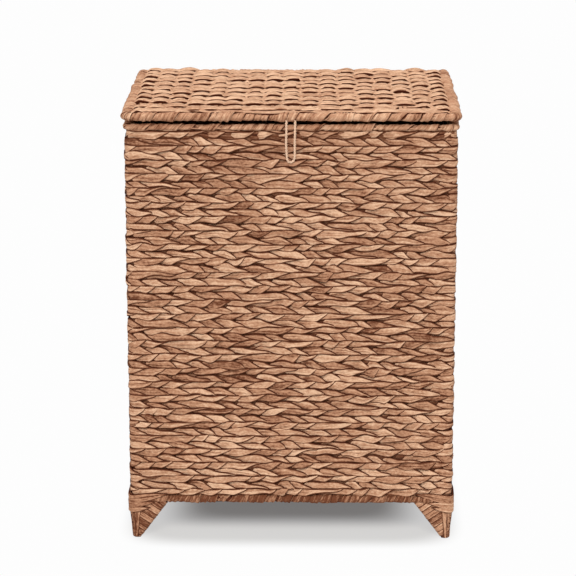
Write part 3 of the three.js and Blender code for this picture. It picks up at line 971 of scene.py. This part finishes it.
# Height, and growth of the radius, of the turns round a foot's tip, and their half width and half depth
TIP_TURNS = ((0.0042, 0.0), (0.0098, 0.0012))
TIP_HALF = (0.0038, 0.0014)
FEET = (("front_left", -1, -1), ("front_right", 1, -1), ("back_right", 1, 1), ("back_left", -1, 1))


class FootFrame:
    """Places on a foot: how far from its outer edge, how deep behind its face, and how high."""

    def __init__(self, sign_x, sign_y, on_side):
        self.sign = np.array([sign_x, sign_y, 1.0])
        self.on_side = on_side

    def place(self, reach, depth, height):
        """Points from arrays of reach, depth and height."""
        lean = between(FOOT_TIP_INSET, FOOT_TOP_INSET, np.clip(height / FOOT_TOP, 0, 1))
        inward = (depth + lean, reach) if self.on_side else (reach, depth + lean)
        x = self.sign[0] * (WALL.half.x - inward[0])
        y = self.sign[1] * (WALL.half.y - inward[1])
        return np.stack([x, y, height], axis=-1)


def follow(strands, path, out, half_width, half_depth, tone, **options):
    """A strand along a path whose flat side faces roughly along out."""
    way = heading(path)
    out = unit(out - way * np.sum(out * way, axis=1, keepdims=True))
    strands.add(path, np.cross(way, out), out, half_width, half_depth, tone, **options)


def foot_bands(strands, face):
    """Bands square to the foot's sloping edge, folded round it and tucked under the upright strips."""
    rng = strands.rng
    tip = np.array([FOOT_TIP_REACH, FOOT_TIP_HEIGHT])
    slope = np.array([FOOT_REACH, FOOT_TOP]) - tip
    length = np.linalg.norm(slope)
    slope /= length
    inward = np.array([-slope[1], slope[0]])
    edges = np.sort(np.linspace(0, 1, FOOT_BANDS + 1)[1:-1] + rng.normal(0, 0.012, FOOT_BANDS - 1))
    edges = length * np.concatenate([[0], edges, [1]])
    turn = np.linspace(-math.pi / 2, math.pi / 2, 9)
    for low, high in zip(edges, edges[1:]):
        start = tip + slope * (low + high) / 2
        tuck = 0.005 + 0.004 * start[1] / FOOT_TOP
        run = min((start[0] - tuck) / -inward[0], (FOOT_TOP + 0.004 - start[1]) / inward[1])
        tail = np.linspace(FOLD_RADIUS + 0.012, FOLD_RADIUS, 4)[:-1]
        face_run = np.linspace(FOLD_RADIUS, run, 14)[1:]
        spine = np.concatenate([tail, np.full(len(turn), FOLD_RADIUS), face_run])
        angle = np.concatenate([np.full(len(tail), turn[0]), turn, np.full(len(face_run), turn[-1])])
        places = []
        for radius in (0.0, FOLD_RADIUS):
            inset = start + inward * (spine - radius * np.cos(angle))[:, None]
            depth = FOLD_RADIUS - radius * np.sin(angle)
            places.append(face.place(inset[:, 0], depth + 0.0013, inset[:, 1]))
        centre, path = places
        half_width = (high - low) * 0.56 * (0.55 + 0.45 * smooth(0, 0.006, run - spine))
        tone = BAND_TONE + FOOT_SIDE_SHADE * face.sign[0] + 0.11 * rng.normal()
        half_depth = 0.0014 + 0.0003 * rng.random()
        follow(strands, path, unit(path - centre), half_width, half_depth, tone, sides=12)


class HAMPER_OT_feet(bpy.types.Operator):
    """Wraps the four corner feet"""

    bl_idname = "hamper.feet"
    bl_label = "Wrapped feet"

    def execute(self, context):
        sizes = context.scene.hamper_sizes
        loop = Loop(WALL.half.x, WALL.half.y, sizes.wall_corner)
        for corner, (name, sign_x, sign_y) in enumerate(FEET):
            strands = Strands(70 + corner)
            for on_side in (False, True):
                foot_bands(strands, FootFrame(sign_x, sign_y, on_side))
            self.foot_core(strands, sign_x, sign_y)
            self.corner_strips(strands, loop, corner, FOOT_SIDE_SHADE * sign_x)
            self.tip_turns(strands, sign_x, sign_y)
            piece = strands.build(f"foot_winding_{name}", stalks("foot"))
            settle(piece, "basket", "wrapped_hyacinth", f"foot_wrap_{name}")
        return {"FINISHED"}

    def foot_core(self, strands, sign_x, sign_y):
        """Packed stalks behind the bands, a tapered run on each face, painted dark as the shade behind
        them.
        """
        for on_side in (False, True):
            face = FootFrame(sign_x, sign_y, on_side)
            height = np.linspace(0.001, FOOT_TOP, 12)
            reach = between(FOOT_TIP_REACH, FOOT_REACH, height / FOOT_TOP)
            middle = (reach + 0.004) / 2
            path = face.place(middle, 0.0065, height)
            side = unit(face.place(middle + 0.001, 0.0065, height) - path)
            out = unit(face.place(middle, 0.0055, height) - path)
            half_width = (reach - 0.007) / 2
            # The core is painted dark, with a low lift, as the shade behind the bands
            strands.add(path, side, out, half_width, 0.0042, SHADED_FILL_TONE, lift=0.3, sides=12)

    def corner_strips(self, strands, loop, corner, side_shade):
        """Upright strips over the bands' outer ends, and long leaves round the corner above the foot."""
        rng = strands.rng
        middle = loop.corner(corner)
        height = np.linspace(0.0015, FOOT_TOP + 0.004, 16)
        for offset in STRIP_OFFSETS:
            narrow = between(0.5, 1.0, height / FOOT_TOP)
            place, _, out = loop.at(middle + offset * narrow)
            lean = between(FOOT_TIP_INSET, FOOT_TOP_INSET, height / FOOT_TOP)[:, None]
            inward = out * (lean + 0.0006)
            path = place - inward + UPRIGHT * height[:, None]
            half_width, half_depth = STRIP_HALF
            tone = STRIP_TONE + side_shade + 0.08 * rng.normal()
            # lift 0.95 paints a little shade on the strips
            follow(strands, path, out, half_width * narrow, half_depth, tone, lift=0.95, sides=12)
        for height_here, reach, half_width in FOOT_LEAVES:
            tilt = rng.uniform(0.09, 0.19)
            distance = np.linspace(middle - reach, middle + reach, 50)
            place, _, out = loop.at(distance)
            shape = np.clip(1 - (np.abs(distance - middle) / reach) ** 2.4, 0.03, 1)
            rise = height_here + tilt * np.abs(distance - middle)
            path = place + out * (0.0013 * shape - 0.0014)[:, None] + UPRIGHT * rise[:, None]
            tone = FOOT_LEAF_TONE + side_shade + 0.1 * rng.normal()
            follow(strands, path, out, half_width * shape, FOOT_LEAF_HALF_DEPTH, tone, sides=12)

    def tip_turns(self, strands, sign_x, sign_y):
        """Turns of strand round the tip, over the end of the foot's rod."""
        half = (FOOT_TIP_REACH - FOOT_TIP_INSET) / 2
        for height, growth in TIP_TURNS:
            loop = Loop(half + growth, half + growth, 0.8 * half)
            place, _, out = loop.at(loop.stations(0.002, 0.0012)[:-1])
            middle = FOOT_TIP_INSET + half
            x, y = sign_x * (WALL.half.x - middle), sign_y * (WALL.half.y - middle)
            path = place + np.array([x, y, height]) - out * TIP_HALF[1]
            tone = TIP_TONE + 0.08 * strands.rng.normal()
            strands.add(path, UPRIGHT, out, *TIP_HALF, tone, sides=12, closed=True)


# Pull loop

PULL_ROUTE_MM = (
    (-6.4, -176.2, 597.0), (-6.4, -178.0, 592.5), (-6.3, -178.6, 586.0), (-6.4, -178.5, 576.0),
    (-6.6, -178.4, 567.0), (-6.3, -178.3, 558.0), (-5.8, -178.2, 551.0), (-5.5, -178.1, 546.5),
    (-4.6, -178.0, 542.9), (-2.6, -178.0, 540.7), (-0.4, -178.0, 540.4), (2.0, -178.0, 541.3),
    (4.0, -178.0, 543.6), (4.9, -178.1, 547.0), (5.1, -178.2, 552.0), (5.0, -178.3, 559.0),
    (5.0, -178.4, 567.0), (5.2, -178.5, 576.0), (5.4, -178.6, 586.0), (5.4, -178.0, 592.5),
    (5.4, -176.2, 597.0),
)  # fmt: skip
PULL_STEP = 0.0006
# Length of cord in which its two plies twist once round each other, and their sizes as shares of the cord's
TWIST_LENGTH = 0.0075
PLY_RADIUS, PLY_OFFSET = 0.28, 0.22


class HAMPER_OT_pull_loop(bpy.types.Operator):
    """Twists the pull loop's cord along its route"""

    bl_idname = "hamper.pull_loop"
    bl_label = "Pull loop"

    def execute(self, context):
        diameter = context.scene.hamper_sizes.cord
        path = catmull(np.array(PULL_ROUTE_MM) / 1000, 8)
        gone = travel(path)
        even = np.linspace(0, gone[-1], int(gone[-1] / PULL_STEP))
        path = np.stack([np.interp(even, gone, path[:, axis]) for axis in range(3)], axis=1)
        way = heading(path)
        across = unit(np.cross(way, -FORWARD))
        front = np.cross(across, way)
        strands = Strands(80)
        twist = (TURN * even / TWIST_LENGTH)[:, None]
        radius = diameter * PLY_RADIUS
        for ply in range(2):
            ray = across * np.cos(twist + ply * math.pi) + front * np.sin(twist + ply * math.pi)
            centre = path + ray * diameter * PLY_OFFSET
            strands.add(centre, np.cross(way, ray), ray, radius, radius, 0.8, sides=10, wrinkle=0.05)
        piece = strands.build("pull_cord_loop", finish_of("twine", twine))
        settle(piece, "lid", "pull_cord", "pull_loop")
        return {"FINISHED"}


class HAMPER_OT_ironwork(bpy.types.Operator):
    """Paints the frame's rods and finishes the wire of the hinge links"""

    bl_idname = "hamper.ironwork"
    bl_label = "Rods and hinge links"

    def execute(self, context):
        iron = finish_of("painted iron", painted_iron)
        wire = finish_of("drawn wire", drawn_wire)
        for entry in frame["record"]["subparts"]:
            if entry["material_slot"] in ("frame_iron", "hinge_wire"):
                node = frame["nodes"][entry["node"]]
                node.data.materials.clear()
                node.data.materials.append(iron if entry["material_slot"] == "frame_iron" else wire)
                node.data.polygons.foreach_set("use_smooth", [True] * len(node.data.polygons))
        return {"FINISHED"}


# Camera and stage

CAMERA_PLACE = (0.0306, -3.4, 1.2208)
CAMERA_PITCH = math.radians(14.87)
CAMERA_YAW = math.radians(-0.618)
CAMERA_FOCUS_PIXELS = 2445
FRAME_PIXELS = 576
SENSOR = 36


class HAMPER_OT_camera(bpy.types.Operator):
    """Places the camera in front of the hamper, a little above its lid"""

    bl_idname = "hamper.camera"
    bl_label = "Camera"

    def execute(self, context):
        data = bpy.data.cameras.new("camera")
        data.sensor_fit = "HORIZONTAL"
        data.sensor_width = SENSOR
        data.lens = CAMERA_FOCUS_PIXELS * SENSOR / FRAME_PIXELS
        camera = bpy.data.objects.new("camera", data)
        camera.location = CAMERA_PLACE
        camera.rotation_euler = (math.pi / 2 - CAMERA_PITCH, 0, -CAMERA_YAW)
        context.scene.collection.objects.link(camera)
        context.scene.camera = camera
        return {"FINISHED"}


# Name, strength, spread in degrees and the way that it shines
STUDIO_LIGHTS = (
    ("overhead", 1.35, 30, (0.12, -0.2, -0.95)),
    ("front", 2.1, 20, (0.05, 0.74, -0.67)),
)
# Middle of the floor's shade, and how far the shade and the darker floor in it reach from there
SHADE_MIDDLE = Vector((0, 0.06, 0))
SHADE_REACH = Vector((0.264, 0.27, 0))
DARK_REACH = Vector((0.243, 0.27, 0))
# Darkest and lightest of the floor's mottle: below the hamper and at its front and back, darker as the
# hamper's painted shadow, and all round
FLOOR_SHADOW_UNDER = (0.28, 0.34, 0.39), (0.3, 0.36, 0.41)
FLOOR_SHADOW_BESIDE = (0.325, 0.316, 0.288), (0.345, 0.336, 0.308)
FLOOR_FAR = (0.62, 0.62, 0.63), (0.66, 0.66, 0.67)
FLOOR_GLOW = 0.984
FLOOR_HALF = 12
WORLD_LIGHT = 0.5


class HAMPER_OT_stage(bpy.types.Operator):
    """Lays the pale floor, with the hamper's shadow painted on it, and sets the soft studio light"""

    bl_idname = "hamper.stage"
    bl_label = "Stage"

    def execute(self, context):
        scene = context.scene
        scene.view_settings.view_transform = "Standard"
        finish = Finish("studio_floor")
        place = finish.place()
        mottle = finish.noise(place, (9, 9, 9))
        finish.shader.inputs["Specular IOR Level"].default_value = 0.1
        away_x = finish.node("ShaderNodeSeparateXYZ", {}, {0: place}, 0) - SHADE_MIDDLE.x
        away_y = finish.node("ShaderNodeSeparateXYZ", {}, {0: place}, 1) - SHADE_MIDDLE.y
        inner, outer = (
            ((away_x * (1 / reach.x)) ** 8 + (away_y * (1 / reach.y)) ** 8) ** 0.125
            for reach in (SHADE_REACH, DARK_REACH)
        )
        under, beside, far = (
            finish.mix(mottle, *shades) for shades in (FLOOR_SHADOW_UNDER, FLOOR_SHADOW_BESIDE, FLOOR_FAR)
        )
        # Painted shadow: the floor's colour is darker below the hamper and at its front and back
        near = finish.mix((away_y**2).step(0.02, 0.034), under, beside)
        finish.set(base_color=finish.mix(outer.step(0.9, 1.2), near, far), roughness=0.9)
        # The floor glows white all round, which hides the real shadows there, and less near the hamper,
        # which paints its shadow
        lit = inner.step(0.465, 0.76, 0.155, 0.57) + outer.step(0.84, 1.03, 0.0, 0.43)
        finish.glow_where(lit, FLOOR_GLOW)
        mesh = bpy.data.meshes.new("floor")
        corners = [(x * FLOOR_HALF, y * FLOOR_HALF, 0) for x, y in ((-1, -1), (1, -1), (1, 1), (-1, 1))]
        mesh.from_pydata(corners, [], [(0, 1, 2, 3)])
        mesh.materials.append(finish.material)
        floor = bpy.data.objects.new("floor", mesh)
        scene.collection.objects.link(floor)
        world = bpy.data.worlds.new("studio")
        world.use_nodes = True
        background = world.node_tree.nodes["Background"]
        background.inputs["Color"].default_value = (1, 1, 1, 1)
        background.inputs["Strength"].default_value = WORLD_LIGHT
        scene.world = world
        for name, energy, spread, way in STUDIO_LIGHTS:
            data = bpy.data.lights.new(name, "SUN")
            data.energy = energy
            data.angle = math.radians(spread)
            light = bpy.data.objects.new(name, data)
            light.rotation_euler = Vector(way).to_track_quat("-Z", "Y").to_euler()
            scene.collection.objects.link(light)
        return {"FINISHED"}


OPERATORS = (
    HAMPER_OT_camera,
    HAMPER_OT_pull_loop,
    HAMPER_OT_braided_wall,
    HAMPER_OT_rims,
    HAMPER_OT_weaves,
    HAMPER_OT_feet,
    HAMPER_OT_ironwork,
    HAMPER_OT_stage,
)


class HAMPER_PT_panel(bpy.types.Panel):
    """Lists the hamper's sizes, colours and pieces"""

    bl_label = "Hamper"
    bl_idname = "HAMPER_PT_panel"
    bl_space_type = "VIEW_3D"
    bl_region_type = "UI"
    bl_category = "Hamper"

    def draw(self, context):
        for group in (context.scene.hamper_sizes, context.scene.hamper_colours):
            for name in group.bl_rna.properties.keys():
                if name not in ("rna_type", "name"):
                    self.layout.prop(group, name)
        for operator in OPERATORS:
            self.layout.operator(operator.bl_idname)


CLASSES = (HamperSizes, HamperColours, *OPERATORS, HAMPER_PT_panel)


def register():
    for made in CLASSES:
        bpy.utils.register_class(made)
    bpy.types.Scene.hamper_sizes = bpy.props.PointerProperty(type=HamperSizes)
    bpy.types.Scene.hamper_colours = bpy.props.PointerProperty(type=HamperColours)


def unregister():
    del bpy.types.Scene.hamper_colours
    del bpy.types.Scene.hamper_sizes
    for made in reversed(CLASSES):
        bpy.utils.unregister_class(made)


def main():
    register()
    for operator in OPERATORS:
        getattr(bpy.ops.hamper, operator.bl_idname.split(".")[1])()


if __name__ == "__main__":
    main()
